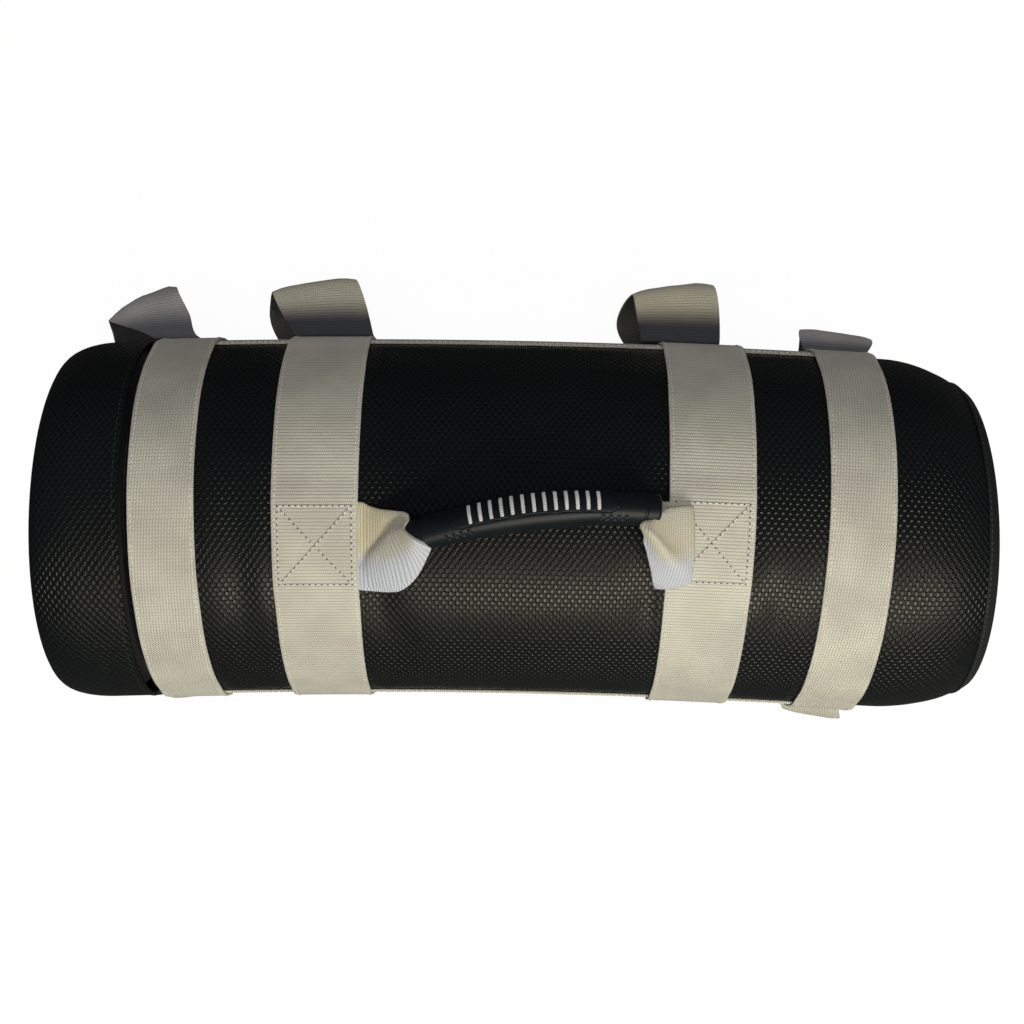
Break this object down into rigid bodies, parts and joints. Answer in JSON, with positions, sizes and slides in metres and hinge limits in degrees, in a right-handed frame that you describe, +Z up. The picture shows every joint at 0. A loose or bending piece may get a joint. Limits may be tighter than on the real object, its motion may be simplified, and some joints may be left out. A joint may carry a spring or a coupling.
{
  "type": "sandbag trainer",
  "caption": "Zipped black vinyl sandbag lying on its side, with grey webbing bands, sewn carry loops and a moulded grip with a ribbed stripe insert.",
  "frame": {"origin": "middle of the footprint, on the floor the bag lies on", "axes": "+X along the bag from the zipped lid to the closed end, +Z up through the grip, +Y towards the four front carry loops"},
  "size_m": [0.5694, 0.2916, 0.2539],
  "materials": {
    "black_binding": "woven binding tape",
    "black_vinyl": "embossed soft vinyl, satin",
    "grey_webbing": "woven webbing",
    "grip_rubber": "smooth moulded rubber",
    "liner_cloth": "coated cloth",
    "sand": "loose sand",
    "stripe_insert": "textured silver-grey plastic",
    "tie_cord": "braided cord",
    "zinc": "die-cast zinc",
    "zip_coil": "nylon coil",
    "zip_tape": "woven tape"
  },
  "bodies": {
    "bag": {"band_inner_left": "grey_webbing", "band_inner_right": "grey_webbing", "band_outer_left": "grey_webbing", "band_outer_right": "grey_webbing", "cover_tube": "black_vinyl", "end_binding": "black_binding", "end_panel": "black_vinyl", "handle_tab_left": "grey_webbing", "handle_tab_right": "grey_webbing", "lid_hinge_tape": "zip_tape", "liner_tie": "tie_cord", "loop_back_outer_left": "grey_webbing", "loop_back_outer_right": "grey_webbing", "loop_front_inner_left": "grey_webbing", "loop_front_inner_right": "grey_webbing", "loop_front_outer_left": "grey_webbing", "loop_front_outer_right": "grey_webbing", "rail_back": "grey_webbing", "rail_front": "grey_webbing", "sand_fill": "sand", "sand_liner": "liner_cloth", "tube_zip_coil": "zip_coil", "tube_zip_tape": "zip_tape"},
    "grip": {"grip_body": "grip_rubber", "grip_strap": "grey_webbing", "grip_insert": "stripe_insert"},
    "lid": {"lid_skirt": "black_vinyl", "lid_panel": "black_vinyl", "lid_zip_tape": "zip_tape", "lid_zip_coil": "zip_coil"},
    "zip_slider": {"zip_slider": "zinc"},
    "zip_puller": {"zip_puller": "zinc"}
  },
  "joints": [
    {"name": "grip_swing", "type": "hinge", "parent": "bag", "child": "grip", "pos_m": [-0.06525, -0.02696, 0.2333], "axis": [0.9911, 0.1332, 0.0046], "range_deg": [-45, 125]},
    {"name": "lid_swing", "type": "hinge", "parent": "bag", "child": "lid", "pos_m": [-0.22306, -0.13376, 0.11015], "axis": [0, 0, 1], "range_deg": [0, 90]},
    {"name": "zip_slide", "type": "hinge", "parent": "bag", "child": "zip_slider", "pos_m": [-0.22705, -0.01826, 0.11015], "axis": [0.9994, 0.0345, 0], "range_deg": [0, 318]},
    {"name": "puller_tilt", "type": "hinge", "parent": "zip_slider", "child": "zip_puller", "pos_m": [-0.22361, -0.11775, 0.06892], "axis": [0.9994, 0.0345, 0], "range_deg": [-150, 0]}
  ]
}
